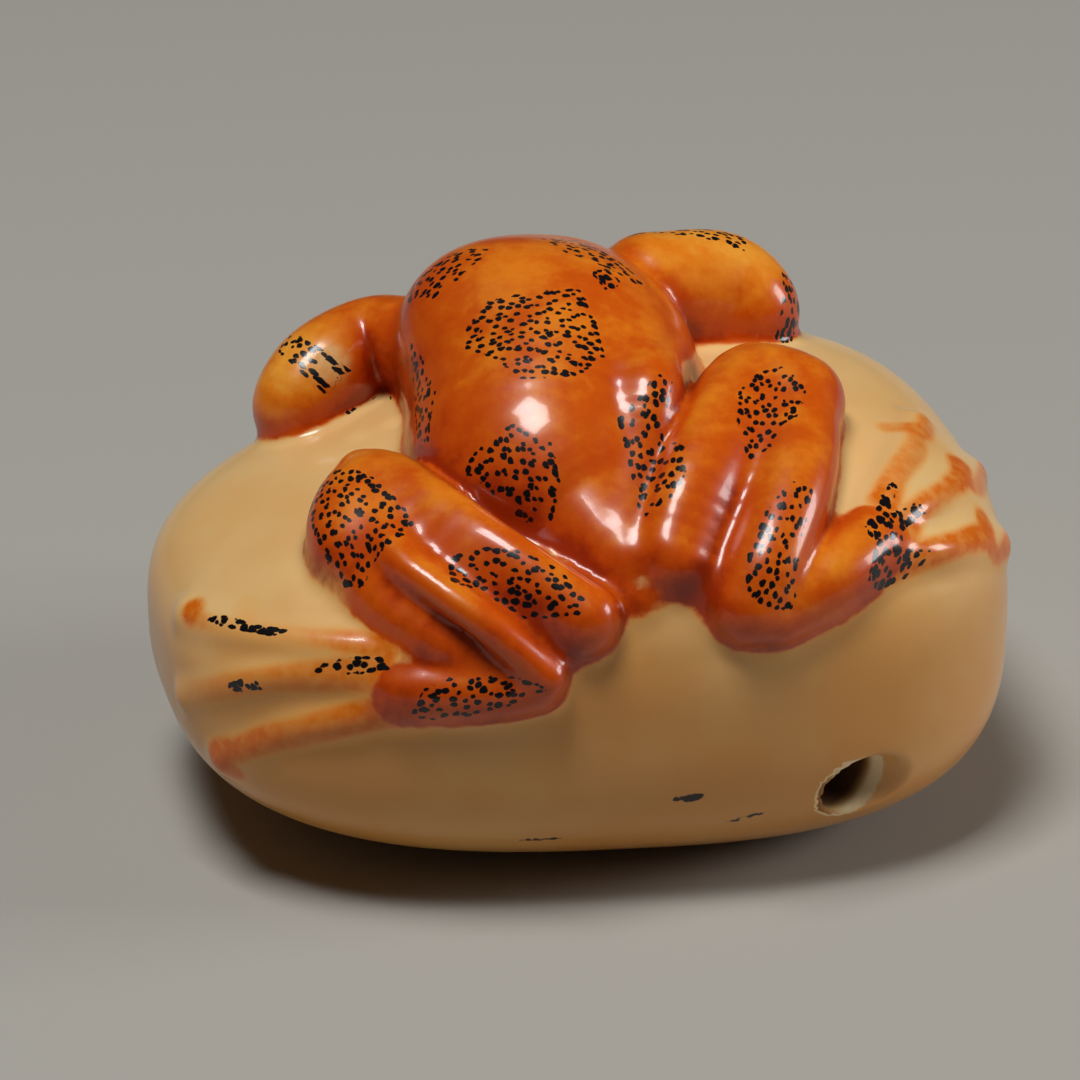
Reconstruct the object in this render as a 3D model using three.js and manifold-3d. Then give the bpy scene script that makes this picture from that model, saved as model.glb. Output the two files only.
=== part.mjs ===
// A frog carved on a tagua nut, in millimetres with +Z up. Nut and frog are one piece of vegetable ivory.
// The origin is the middle of the flat underside. The viewer stands at -Y and sees the frog from behind.
import * as THREE from 'three';
import { mergeVertices } from 'three/addons/utils/BufferGeometryUtils.js';
import Module from 'manifold-3d';

// The nut: a rounded block, fuller towards its right end, which is turned away from the viewer.
const NUT_LEFT = 23.7; // from its middle to its left end
const NUT_RIGHT = 23.5; // from its middle to its right end
const NUT_HALF_DEPTH = 17; // from its middle to its near side
const NUT_ABOVE = 11; // from its middle to its top
const NUT_BELOW = 11.3; // from its middle to its underside
const REST_FLAT = 0.2; // depth that is rubbed flat where it rests
const NUT_SQUARENESS = 2.9; // exponent of its rounded block: 2 is an egg, more is squarer
const TOP_SWELL = 0.27; // how much higher the right end's top is than the middle's, as a share
const SIDE_SWELL = 0.14; // the same for its depth and its underside
const NUT_TURN = 14; // degrees

// The frog: its size, and how softly its forms run together.
const FROG_LENGTH = 33; // nose to rump
const BODY_BLEND = 3;
const NECK_BLEND = 2.5;
const MUSCLE_BLEND = 1.2;
const WEB_BLEND = 0.8;
const FOLD_BLEND = 1.6; // between a thigh and its own shin
const CREASE_BLEND = 0.6;
const GROUND_BLEND = 1.2;

// The cord hole, drilled towards the nut's middle with a chipped, widened mouth.
const HOLE_TURN = 49.5; // degrees round the nut
const HOLE_RISE = -14; // degrees up it
const HOLE_BORE = 3.6; // diameter
const HOLE_MOUTH = 4.4; // diameter
const HOLE_DEPTH = 7;
const MOUTH_DEPTH = 0.7;

// Facets: a ball of small triangles is shrunk onto the carving from this height above the underside.
const FACET_ROWS = 21;
const FACET_CENTRE_HEIGHT = 14;
const FACET_CROWDING = 0.5; // how strongly the corners are drawn up towards the frog, from 0 to 1
const FACET_PROUD = 0.03; // corners stand this far out, so that the flats between them keep the volume
const SPREAD_ROUNDS = 12; // how often the corners are then slid along the carving to even them out
const POLISH_ROUNDS = 1; // how often they are eased once more at the end, to round off the creases
const BEND_STEPS = 4; // straight pieces between two joints of a bent limb
const HOLE_SIDES = 28;

// Each row is a joint: degrees round the nut (0 faces the viewer, 90 is the right end), degrees up it,
// how far the bone's middle stands above the nut's skin, and the radius of the flesh round it.
// The last two are in hundredths of the frog's length. A crest is the thin ridge along a limb's upper edge.
const TRUNK = [
  [13, 27, -3.4, 5.2],
  [10.5, 36, -4, 8.4],
  [1.5, 50.3, -5.2, 14.5],
  [-25.1, 67.4, -3.3, 22],
  [-155, 78, 0.6, 24.6],
  [-165.5, 60.5, -0.6, 24.4],
];
const NAPE = [-129, 66, 12.2, 14];
const HIP_RIDGE = [
  [116.5, 72.5, 7, 6],
  [44, 69, 11.5, 6],
  [25, 55, 4.6, 5],
  [14, 34, 0.2, 3.6],
];
const HEAD = [
  [-147, 40, 1.5, 13],
  [-167, 38, 0.5, 13],
];
const SNOUT = [
  [-157, 38, 1, 12],
  [-158, 26, -2, 9.8],
];
const EYES = [
  [-145, 40, 11, 4.8],
  [-172, 40, 10, 4.8],
];
const LEFT_ARM = [
  [-129.5, 48.5, 9, 8],
  [-127.5, 39, 11, 7.6],
  [-116, 33.5, 9, 8.4],
  [-110, 27.5, 4, 7],
  [-123, 20, 0, 5],
];
const LEFT_FOREARM = [
  [-130, 30.5, 7, 6],
  [-123, 27, 6, 6],
  [-118, 23.5, 0, 5],
];
const RIGHT_ARM = [
  [157, 52, 11, 10],
  [144.5, 43, 9.5, 10],
  [137.5, 38, 4, 7.6],
  [151, 25, -0.6, 5.4],
];
const RIGHT_FOREARM = [
  [147, 41.5, 3, 9],
  [145, 33.5, 1, 8.4],
  [142.5, 29.5, -1, 5.6],
];
const LEFT_FINGERS = [
  [[-127, 19, -1, 3.6], [-116, 12, -1, 2.2], [-109, 6, -1.2, 2]],
  [[-127, 19, -1, 3.6], [-123, 8, -1, 2.2], [-120, 0, -1.2, 2]],
  [[-127, 19, -1, 3.6], [-131, 7, -1, 2.2], [-132, 0, -1.2, 2]],
  [[-127, 19, -1, 3.6], [-139, 11, -1, 2.2], [-145, 6, -1.2, 2]],
];
const RIGHT_FINGERS = [
  [[158, 21, -2, 3.6], [170, 13, -1, 2.2], [175, 6, -1.2, 2]],
  [[158, 21, -2, 3.6], [162, 9, -1, 2.2], [164, 0, -1.2, 2]],
  [[158, 21, -2, 3.6], [153, 9, -1, 2.2], [151, 0, -1.2, 2]],
  [[158, 21, -2, 3.6], [145, 12, -1, 2.2], [139, 5, -1.2, 2]],
];
const LEFT_THIGH = [
  [1.5, 22.5, 0.6, 5.6],
  [-24, 32, 1, 6.4],
  [-53, 37, 2.4, 8],
  [-53, 31.5, 2.6, 7.8],
  [-47.5, 27.5, 1.2, 6.2],
];
const LEFT_THIGH_CREST = [
  [-64, 39, 6, 3.4],
  [-38.5, 41, 6.4, 3],
  [-15.5, 35, 5.6, 3],
  [2.5, 24.5, 2.4, 3.4],
];
const LEFT_SHIN = [
  [-47.5, 27.5, 1.2, 6.2],
  [-30.5, 20, -0.6, 4.8],
  [-10, 11, -1, 3.6],
];
const LEFT_SHIN_CREST = [
  [-47.5, 34.5, 6, 3],
  [-34.5, 29.5, 7, 3],
  [-24, 26, 6.6, 2.8],
  [-14.5, 21.5, 5.4, 2.8],
  [-5, 13.5, 2.4, 3.2],
];
const LEFT_FOOT = [
  [-6.5, 11, 0, 3.6],
  [-16.5, 10, -0.9, 4.8],
  [-28.5, 9, -1.8, 5.2],
];
const LEFT_TOES = [
  [[-30, 14.5, -1.5, 3], [-43.5, 13, -1.2, 2.1], [-55, 11, -1.4, 1.8], [-67, 8.5, -1.5, 2.1]],
  [[-30.5, 10.5, -1.5, 3], [-42, 9.5, -1.2, 2.1], [-50.5, 6, -1.4, 1.8], [-63, -1.5, -1.5, 1.8]],
  [[-27.5, 7.5, -1.8, 3], [-36.5, 3.5, -1.2, 2.4], [-45, -0.5, -1.4, 1.8], [-55.5, -8, -1.5, 2.1]],
];
const RIGHT_THIGH = [
  [22.5, 32, 0, 6.6],
  [39.5, 46.5, 2.6, 8],
  [81, 53, 4.6, 8.6],
  [80.5, 46.5, 4.6, 7.4],
];
const RIGHT_THIGH_CREST = [
  [20, 36, 3, 3.2],
  [28.5, 45, 6.4, 3],
  [49, 55.5, 8, 3],
  [87, 55.5, 7.6, 3.4],
];
const RIGHT_SHIN = [
  [80.5, 46.5, 4.6, 7.4],
  [53.5, 38, 3, 6.8],
  [38.5, 28, 1.8, 7],
  [32.5, 22, 0.6, 6.8],
];
const RIGHT_SHIN_CREST = [
  [81.5, 46.5, 6.5, 4],
  [65.5, 41.5, 5.4, 3.6],
  [51, 35.5, 4, 3.4],
  [41.5, 30.5, 3, 3.4],
];
const RIGHT_FOOT = [
  [37, 20, 0, 5.8],
  [47.5, 22, -0.6, 6.4],
  [57.5, 23.5, -1.8, 5.8],
];
const RIGHT_TOES = [
  [[61.5, 26.5, -1.8, 3.6], [73.5, 29, -0.9, 2.4], [95, 27, -1.2, 2.1]],
  [[62, 24.5, -1.8, 3.6], [72.5, 24, -0.9, 2.4], [94.5, 16.5, -1.2, 2.1]],
  [[58.5, 21.5, -1.8, 3.6], [66.5, 18.5, -0.9, 2.4], [82, 11.5, -1.2, 2.1]],
];

const wasm = await Module();
wasm.setup();

const turnAngle = THREE.MathUtils.degToRad(NUT_TURN);
const turnCos = Math.cos(turnAngle);
const turnSin = Math.sin(turnAngle);
const nutMiddle = new THREE.Vector3(0, 0, NUT_BELOW - REST_FLAT);

// The nut as a rounded block with one squareness, |x|^n + |y|^n + |z|^n = 1 in shares of its half sizes.
// share is how far out (x, y, z) lies from the nut's middle, 1 being its skin; slope is its growth per mm.
function nutAt(dx, dy, dz) {
  const x = dx * turnCos + dy * turnSin;
  const y = dy * turnCos - dx * turnSin;
  const halfLength = x < 0 ? NUT_LEFT : NUT_RIGHT;
  const along = x / halfLength;
  const lean = along / Math.hypot(along, y / NUT_HALF_DEPTH, dz / NUT_ABOVE);
  const halfDepth = NUT_HALF_DEPTH * (1 + SIDE_SWELL * lean);
  const halfHeight = dz > 0 ? NUT_ABOVE * (1 + TOP_SWELL * lean) : NUT_BELOW * (1 + SIDE_SWELL * lean);
  const shares = [Math.abs(along), Math.abs(y) / halfDepth, Math.abs(dz) / halfHeight];
  const sum = shares.reduce((total, s) => total + s ** NUT_SQUARENESS, 0);
  const share = sum ** (1 / NUT_SQUARENESS);
  const steep = shares.map((s) => (s / share) ** (NUT_SQUARENESS - 1));
  const slope = Math.hypot(steep[0] / halfLength, steep[1] / halfDepth, steep[2] / halfHeight);
  return { share, slope };
}

// The unit vector that points round by turn and up by rise, in degrees, from the nut's middle.
function heading(turn, rise) {
  const round = THREE.MathUtils.degToRad(turn);
  const up = THREE.MathUtils.degToRad(rise);
  return new THREE.Vector3(Math.sin(round) * Math.cos(up), -Math.cos(round) * Math.cos(up), Math.sin(up));
}

// The point on the nut's skin in that direction, moved out by lift.
function onNut(turn, rise, lift = 0) {
  const way = heading(turn, rise);
  const skin = 1 / nutAt(way.x, way.y, way.z).share;
  return way.multiplyScalar(skin + lift).add(nutMiddle);
}

function ball([turn, rise, lift, radius]) {
  const share = FROG_LENGTH / 100;
  return new THREE.Sphere(onNut(turn, rise, lift * share), radius * share);
}

// A limb's joints with a smooth curve of further joints laid through them, and the ball round them all.
function limb(rows) {
  const joints = rows.map(ball);
  const places = joints.map((joint) => joint.center);
  const girths = joints.map((joint) => new THREE.Vector3(joint.radius, 0, 0));
  const path = new THREE.CatmullRomCurve3(places, false, 'catmullrom', 0.5);
  const girth = new THREE.CatmullRomCurve3(girths, false, 'catmullrom', 0.5);
  const steps = (joints.length - 1) * BEND_STEPS;
  const bent = [];
  for (let i = 0; i <= steps; i += 1) {
    bent.push(new THREE.Sphere(path.getPoint(i / steps), girth.getPoint(i / steps).x));
  }
  const round = new THREE.Sphere().setFromPoints(bent.map((joint) => joint.center));
  round.radius += Math.max(...bent.map((joint) => joint.radius));
  return { joints: bent, round };
}

// Two forms joined, with a fillet of about the given width where they meet.
function join(a, b, width) {
  const overlap = Math.max(width - Math.abs(a - b), 0) / width;
  return Math.min(a, b) - (overlap * overlap * width) / 4;
}

// Distance from p to the tapered, round-ended bone between two joints.
const span = new THREE.Vector3();
const reach = new THREE.Vector3();
function bone(p, from, to) {
  span.subVectors(to.center, from.center);
  reach.subVectors(p, from.center);
  const length2 = span.lengthSq();
  const taper = from.radius - to.radius;
  const side2 = length2 - taper * taper;
  const along = reach.dot(span);
  const past = along - length2;
  const across2 = reach.multiplyScalar(length2).addScaledVector(span, -along).lengthSq();
  const cone = Math.sign(taper) * taper * taper * across2;
  if (Math.sign(past) * side2 * past * past * length2 > cone) {
    return Math.sqrt(across2 + past * past * length2) / length2 - to.radius;
  }
  if (Math.sign(along) * side2 * along * along * length2 < cone) {
    return Math.sqrt(across2 + along * along * length2) / length2 - from.radius;
  }
  return (Math.sqrt((across2 * side2) / length2) + along * taper) / length2 - from.radius;
}

// Distance from p to a limb, or FAR where the limb lies beyond the limit and so can't matter.
const FAR = 1e6;
function flesh(p, form, limit) {
  if (form.round.distanceToPoint(p) > limit) {
    return FAR;
  }
  let distance = FAR;
  for (let i = 1; i < form.joints.length; i += 1) {
    distance = Math.min(distance, bone(p, form.joints[i - 1], form.joints[i]));
  }
  return distance;
}

const frog = {
  trunk: limb(TRUNK),
  nape: ball(NAPE),
  hipRidge: limb(HIP_RIDGE),
  head: limb(HEAD),
  snout: limb(SNOUT),
  eyes: EYES.map(ball),
  arms: [
    { muscles: [limb(LEFT_ARM), limb(LEFT_FOREARM)], fingers: LEFT_FINGERS.map(limb) },
    { muscles: [limb(RIGHT_ARM), limb(RIGHT_FOREARM)], fingers: RIGHT_FINGERS.map(limb) },
  ],
  legs: [
    {
      thigh: [limb(LEFT_THIGH), limb(LEFT_THIGH_CREST)],
      shin: [limb(LEFT_SHIN), limb(LEFT_SHIN_CREST)],
      foot: limb(LEFT_FOOT),
      toes: LEFT_TOES.map(limb),
    },
    {
      thigh: [limb(RIGHT_THIGH), limb(RIGHT_THIGH_CREST)],
      shin: [limb(RIGHT_SHIN), limb(RIGHT_SHIN_CREST)],
      foot: limb(RIGHT_FOOT),
      toes: RIGHT_TOES.map(limb),
    },
  ],
};

function bodyAt(p, limit) {
  let head = join(flesh(p, frog.head, limit), flesh(p, frog.snout, limit), MUSCLE_BLEND);
  for (const eye of frog.eyes) {
    head = join(head, eye.distanceToPoint(p), WEB_BLEND);
  }
  const trunk = join(flesh(p, frog.trunk, limit), frog.nape.distanceToPoint(p), BODY_BLEND);
  const ridged = join(trunk, flesh(p, frog.hipRidge, limit), MUSCLE_BLEND);
  return join(ridged, head, NECK_BLEND);
}

// Two muscles that lie side by side in one limb.
function musclesAt(p, [first, second], limit) {
  return join(flesh(p, first, limit), flesh(p, second, limit), MUSCLE_BLEND);
}

function armAt(p, arm, limit) {
  let distance = musclesAt(p, arm.muscles, limit);
  for (const finger of arm.fingers) {
    distance = join(distance, flesh(p, finger, limit), WEB_BLEND);
  }
  return distance;
}

function legAt(p, leg, limit) {
  const folded = join(musclesAt(p, leg.thigh, limit), musclesAt(p, leg.shin, limit), FOLD_BLEND);
  let foot = flesh(p, leg.foot, limit);
  for (const toe of leg.toes) {
    foot = join(foot, flesh(p, toe, limit), WEB_BLEND);
  }
  return join(folded, foot, CREASE_BLEND);
}

// Distance from p to the carving, before it is rubbed flat below and drilled.
function carvingAt(p) {
  const nut = nutAt(p.x, p.y, p.z - nutMiddle.z);
  const skin = (nut.share - 1) / nut.slope;
  const limit = skin + GROUND_BLEND + BODY_BLEND;
  let distance = bodyAt(p, limit);
  for (const arm of frog.arms) {
    distance = join(distance, armAt(p, arm, limit), CREASE_BLEND);
  }
  for (const leg of frog.legs) {
    distance = join(distance, legAt(p, leg, limit), CREASE_BLEND);
  }
  return join(distance, skin, GROUND_BLEND);
}

// The nearest point of the carving's skin to p, found down the slope of the distance, twice over.
const PROBES = [[1, -1, -1], [-1, -1, 1], [-1, 1, -1], [1, 1, 1]].map((way) => new THREE.Vector3(...way));
const PROBE_LENGTH = 0.01;
function settle(p) {
  const probe = new THREE.Vector3();
  const slope = new THREE.Vector3();
  for (let i = 0; i < 2; i += 1) {
    slope.set(0, 0, 0);
    for (const way of PROBES) {
      slope.addScaledVector(way, carvingAt(probe.copy(p).addScaledVector(way, PROBE_LENGTH)));
    }
    p.addScaledVector(slope.normalize(), FACET_PROUD - carvingAt(p));
  }
}

// Every corner moves halfway to the middle of its neighbours.
function easeCorners(corners, index) {
  const sums = Array.from({ length: corners.count }, () => new THREE.Vector3());
  const counts = new Array(corners.count).fill(0);
  const p = new THREE.Vector3();
  for (let i = 0; i < index.count; i += 1) {
    const from = index.getX(i);
    const to = index.getX(i % 3 === 2 ? i - 2 : i + 1);
    sums[from].add(p.fromBufferAttribute(corners, to));
    counts[from] += 1;
  }
  for (let i = 0; i < corners.count; i += 1) {
    p.fromBufferAttribute(corners, i).lerp(sums[i].divideScalar(counts[i]), 0.5);
    corners.setXYZ(i, p.x, p.y, p.z);
  }
}

function settleCorners(corners) {
  const p = new THREE.Vector3();
  for (let i = 0; i < corners.count; i += 1) {
    settle(p.fromBufferAttribute(corners, i));
    corners.setXYZ(i, p.x, p.y, p.z);
  }
}

// A ball of even triangles, with every corner walked inwards until it meets the carving's outermost skin.
function carvedGeometry() {
  const ball = new THREE.IcosahedronGeometry(1, FACET_ROWS);
  ball.deleteAttribute('normal');
  ball.deleteAttribute('uv');
  const geometry = mergeVertices(ball, 1e-5);
  const corners = geometry.getAttribute('position');
  const start = new THREE.Vector3(0, 0, FACET_CENTRE_HEIGHT);
  const outside = NUT_LEFT + NUT_RIGHT + FROG_LENGTH;
  const way = new THREE.Vector3();
  const p = new THREE.Vector3();
  for (let i = 0; i < corners.count; i += 1) {
    way.fromBufferAttribute(corners, i).normalize();
    way.z += FACET_CROWDING;
    way.normalize();
    let radius = outside;
    let gap = Infinity;
    while (Math.abs(gap) > 0.002 && radius > 0) {
      p.copy(start).addScaledVector(way, radius);
      gap = carvingAt(p) - FACET_PROUD;
      radius -= gap * 0.7;
    }
    corners.setXYZ(i, p.x, p.y, p.z);
  }
  for (let round = 0; round < SPREAD_ROUNDS; round += 1) {
    easeCorners(corners, geometry.index);
    settleCorners(corners);
  }
  for (let round = 0; round < POLISH_ROUNDS; round += 1) {
    easeCorners(corners, geometry.index);
  }
  return geometry;
}

// A drill bit with a wide mouth, turned about its own axis, laid along the hole and pointing inwards.
function holeGeometry() {
  const profile = [
    [0, -HOLE_DEPTH],
    [HOLE_BORE / 2, -HOLE_DEPTH],
    [HOLE_BORE / 2, -MOUTH_DEPTH],
    [HOLE_MOUTH / 2, 0],
    [HOLE_MOUTH / 2 + MOUTH_DEPTH, MOUTH_DEPTH],
    [HOLE_MOUTH / 2 + MOUTH_DEPTH, 3 * MOUTH_DEPTH],
    [0, 3 * MOUTH_DEPTH],
  ].map(([x, y]) => new THREE.Vector2(x, y));
  const geometry = new THREE.LatheGeometry(profile, HOLE_SIDES);
  const outwards = heading(HOLE_TURN, HOLE_RISE);
  const lay = new THREE.Quaternion().setFromUnitVectors(new THREE.Vector3(0, 1, 0), outwards);
  geometry.applyQuaternion(lay);
  const mouth = onNut(HOLE_TURN, HOLE_RISE);
  return geometry.translate(mouth.x, mouth.y, mouth.z);
}

// Everything that the nut would reach below the surface it rests on.
function groundGeometry() {
  const size = 2 * (NUT_LEFT + NUT_RIGHT + FROG_LENGTH);
  return new THREE.BoxGeometry(size, size, size).translate(0, 0, -size / 2);
}

function solid(geometry) {
  const bare = geometry.clone();
  bare.deleteAttribute('normal');
  bare.deleteAttribute('uv');
  const merged = mergeVertices(bare, 1e-5);
  return new wasm.Manifold(new wasm.Mesh({
    numProp: 3,
    vertProperties: new Float32Array(merged.getAttribute('position').array),
    triVerts: new Uint32Array(merged.index.array),
  }));
}

function backToGeometry(manifold) {
  const mesh = manifold.getMesh();
  const geometry = new THREE.BufferGeometry();
  geometry.setAttribute('position', new THREE.BufferAttribute(mesh.vertProperties, 3));
  geometry.setIndex(new THREE.BufferAttribute(mesh.triVerts, 1));
  geometry.computeVertexNormals();
  return geometry;
}

const tagua = new THREE.MeshStandardMaterial({ color: '#c9722a', roughness: 0.32, metalness: 0 });
const carved = solid(carvedGeometry()).subtract(solid(groundGeometry())).subtract(solid(holeGeometry()));
const carving = new THREE.Mesh(backToGeometry(carved), tagua);
carving.name = 'frog_carving';

const group = new THREE.Group();
group.add(carving);

export default group;
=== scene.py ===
# %% [markdown]
# # A frog carved on a tagua nut
# A tagua nut is the seed of a palm. Dried, it is dense, hard and creamy, and it carves and polishes like
# ivory. This one keeps its own rounded form, and a frog crouches on it, cut from the same nut. The frog is
# stained orange, and pen dots fill patches on its back and legs. The lesson draws the carving's forms as
# one fine mesh, stores dye and ink on its vertices, and lights it like an object on a photographer's table.

import functools
import math

import bpy
import numpy as np
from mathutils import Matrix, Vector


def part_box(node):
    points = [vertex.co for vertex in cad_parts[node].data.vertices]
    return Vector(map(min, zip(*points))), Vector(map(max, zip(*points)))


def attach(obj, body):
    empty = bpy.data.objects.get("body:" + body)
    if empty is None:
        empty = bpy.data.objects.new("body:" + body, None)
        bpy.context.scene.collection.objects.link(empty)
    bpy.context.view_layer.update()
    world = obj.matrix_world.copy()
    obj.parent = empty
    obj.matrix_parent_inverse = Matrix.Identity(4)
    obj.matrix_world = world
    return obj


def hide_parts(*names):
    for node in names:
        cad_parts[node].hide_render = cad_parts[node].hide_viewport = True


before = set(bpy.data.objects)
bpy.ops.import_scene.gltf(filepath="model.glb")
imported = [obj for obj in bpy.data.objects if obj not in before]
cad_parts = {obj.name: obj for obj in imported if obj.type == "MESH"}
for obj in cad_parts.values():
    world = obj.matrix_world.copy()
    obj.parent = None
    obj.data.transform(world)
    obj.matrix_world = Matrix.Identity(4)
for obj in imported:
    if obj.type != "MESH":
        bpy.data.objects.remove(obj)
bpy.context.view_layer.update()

# %% [markdown]
# ## One unit for everything
# Blender works in metres, but a carver thinks in millimetres, so every size below is in millimetres. The
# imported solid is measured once, and its length along X says how many metres one of those millimetres is.

# %% The unit
low_corner, high_corner = (np.array(corner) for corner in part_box("frog_carving"))
CARVING_LENGTH = 47.96
MM = (high_corner[0] - low_corner[0]) / CARVING_LENGTH
print(f"one millimetre of the carving is {MM:.6f} m")

# %% [markdown]
# ## The nut as a distance field
# A carved lump with toes and folds is no simple sheet: no pair of parameters covers it evenly. So each form
# is written as a distance, the gap in millimetres from any point to its skin, negative inside. Distances
# are easy to join softly, as clay is, and the place where the joined distance is zero is the surface.
# The nut itself is a rounded block, fuller towards its right end, and turned away from the viewer.

# %% The nut
NUT_LEFT = 23.7
NUT_RIGHT = 23.5
NUT_HALF_DEPTH = 17
NUT_ABOVE = 11
NUT_BELOW = 11.3
REST_FLAT = 0.2
SQUARENESS = 2.9
TOP_SWELL = 0.27
SIDE_SWELL = 0.14
NUT_TURN = math.radians(14)
NUT_MIDDLE = np.array([0, 0, NUT_BELOW - REST_FLAT])


def nut_share(way):
    """How far out a point lies from the nut's middle, 1 being the skin, and how fast that grows per mm.

    In words: the n-th powers of x, y and z, each as a share of the half size on its side, add up to 1."""
    x = way[:, 0] * math.cos(NUT_TURN) + way[:, 1] * math.sin(NUT_TURN)
    y = way[:, 1] * math.cos(NUT_TURN) - way[:, 0] * math.sin(NUT_TURN)
    z = way[:, 2]
    half_length = np.where(x < 0, NUT_LEFT, NUT_RIGHT)
    along = x / half_length
    reach = np.sqrt(along**2 + (y / NUT_HALF_DEPTH)**2 + (z / NUT_ABOVE)**2)
    lean = along / np.maximum(reach, 1e-9)
    half_depth = NUT_HALF_DEPTH * (1 + SIDE_SWELL * lean)
    above = NUT_ABOVE * (1 + TOP_SWELL * lean)
    below = NUT_BELOW * (1 + SIDE_SWELL * lean)
    halves = np.stack([half_length, half_depth, np.where(z > 0, above, below)], axis=1)
    shares = np.abs(np.stack([x, y, z], axis=1)) / halves
    share = (shares**SQUARENESS).sum(axis=1)**(1 / SQUARENESS)
    steep = (shares / np.maximum(share, 1e-9)[:, None])**(SQUARENESS - 1) / halves
    return share, np.sqrt((steep**2).sum(axis=1))


def nut_gap(points):
    """The gap to the nut's skin: the share above 1, divided by how fast the share grows."""
    share, slope = nut_share(points - NUT_MIDDLE)
    return (share - 1) / slope


def heading(turn, rise):
    """The unit vector that points round by turn and up by rise, in degrees. Turn 0 faces the viewer."""
    turn, rise = np.radians(turn), np.radians(rise)
    return np.stack([np.sin(turn) * np.cos(rise), -np.cos(turn) * np.cos(rise), np.sin(rise)], axis=-1)


def on_nut(turn, rise, lift=0.0):
    """The point on the nut's skin in that direction from its middle, moved out by lift."""
    way = np.atleast_2d(heading(turn, rise))
    share, _ = nut_share(way)
    return NUT_MIDDLE + way * (1 / share + lift)[:, None]


print("nut:", NUT_LEFT + NUT_RIGHT, "mm long")

# %% [markdown]
# ## The frog's forms
# The frog is a set of soft limbs laid over the nut, as a modeller would lay rolls of clay. Each row below is
# a joint: degrees round the nut, degrees up it, how far the bone stands above the skin and how thick the
# flesh round it is. The last two are in hundredths of the frog's length, so one number resizes the frog.

# %% The frog's joints
FROG_LENGTH = 33
BODY_BLEND = 3
NECK_BLEND = 2.5
FOLD_BLEND = 1.6
MUSCLE_BLEND = 1.2
WEB_BLEND = 0.8
CREASE_BLEND = 0.6
GROUND_BLEND = 1.2
BEND_STEPS = 6

TRUNK = [
    [13, 27, -3.4, 5.2], [10.5, 36, -4, 8.4], [1.5, 50.3, -5.2, 14.5], [-25.1, 67.4, -3.3, 22],
    [-155, 78, 0.6, 24.6], [-165.5, 60.5, -0.6, 24.4],
]
NAPE = [[-129, 66, 12.2, 14]]
HIP_RIDGE = [[116.5, 72.5, 7, 6], [44, 69, 11.5, 6], [25, 55, 4.6, 5], [14, 34, 0.2, 3.6]]
HEAD = [[-147, 40, 1.5, 13], [-167, 38, 0.5, 13]]
SNOUT = [[-157, 38, 1, 12], [-158, 26, -2, 9.8]]
EYES = [[[-145, 40, 11, 4.8]], [[-172, 40, 10, 4.8]]]
LEFT_ARM = [
    [-129.5, 48.5, 9, 8], [-127.5, 39, 11, 7.6], [-116, 33.5, 9, 8.4], [-110, 27.5, 4, 7],
    [-123, 20, 0, 5],
]
LEFT_FOREARM = [[-130, 30.5, 7, 6], [-123, 27, 6, 6], [-118, 23.5, 0, 5]]
LEFT_FINGERS = [
    [[-127, 19, -1, 3.6], [-116, 12, -1, 2.2], [-109, 6, -1.2, 2]],
    [[-127, 19, -1, 3.6], [-123, 8, -1, 2.2], [-120, 0, -1.2, 2]],
    [[-127, 19, -1, 3.6], [-131, 7, -1, 2.2], [-132, 0, -1.2, 2]],
    [[-127, 19, -1, 3.6], [-139, 11, -1, 2.2], [-145, 6, -1.2, 2]],
]
RIGHT_ARM = [[157, 52, 11, 10], [144.5, 43, 9.5, 10], [137.5, 38, 4, 7.6], [151, 25, -0.6, 5.4]]
RIGHT_FOREARM = [[147, 41.5, 3, 9], [145, 33.5, 1, 8.4], [142.5, 29.5, -1, 5.6]]
RIGHT_FINGERS = [
    [[158, 21, -2, 3.6], [170, 13, -1, 2.2], [175, 6, -1.2, 2]],
    [[158, 21, -2, 3.6], [162, 9, -1, 2.2], [164, 0, -1.2, 2]],
    [[158, 21, -2, 3.6], [153, 9, -1, 2.2], [151, 0, -1.2, 2]],
    [[158, 21, -2, 3.6], [145, 12, -1, 2.2], [139, 5, -1.2, 2]],
]
LEFT_THIGH = [
    [1.5, 22.5, 0.6, 5.6], [-24, 32, 1, 6.4], [-53, 37, 2.4, 8], [-53, 31.5, 2.6, 7.8],
    [-47.5, 27.5, 1.2, 6.2],
]
LEFT_THIGH_CREST = [[-64, 39, 6, 3.4], [-38.5, 41, 6.4, 3], [-15.5, 35, 5.6, 3], [2.5, 24.5, 2.4, 3.4]]
LEFT_SHIN = [[-47.5, 27.5, 1.2, 6.2], [-30.5, 20, -0.6, 4.8], [-10, 11, -1, 3.6]]
LEFT_SHIN_CREST = [
    [-47.5, 34.5, 6, 3], [-34.5, 29.5, 7, 3], [-24, 26, 6.6, 2.8], [-14.5, 21.5, 5.4, 2.8],
    [-5, 13.5, 2.4, 3.2],
]
LEFT_FOOT = [[-6.5, 11, 0, 3.6], [-16.5, 10, -0.9, 4.8], [-28.5, 9, -1.8, 5.2]]
LEFT_TOES = [
    [[-30, 14.5, -1.5, 3], [-43.5, 13, -1.2, 2.1], [-55, 11, -1.4, 1.8], [-67, 8.5, -1.5, 2.1]],
    [[-30.5, 10.5, -1.5, 3], [-42, 9.5, -1.2, 2.1], [-50.5, 6, -1.4, 1.8], [-63, -1.5, -1.5, 1.8]],
    [[-27.5, 7.5, -1.8, 3], [-36.5, 3.5, -1.2, 2.4], [-45, -0.5, -1.4, 1.8], [-55.5, -8, -1.5, 2.1]],
]
RIGHT_THIGH = [[22.5, 32, 0, 6.6], [39.5, 46.5, 2.6, 8], [81, 53, 4.6, 8.6], [80.5, 46.5, 4.6, 7.4]]
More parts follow.
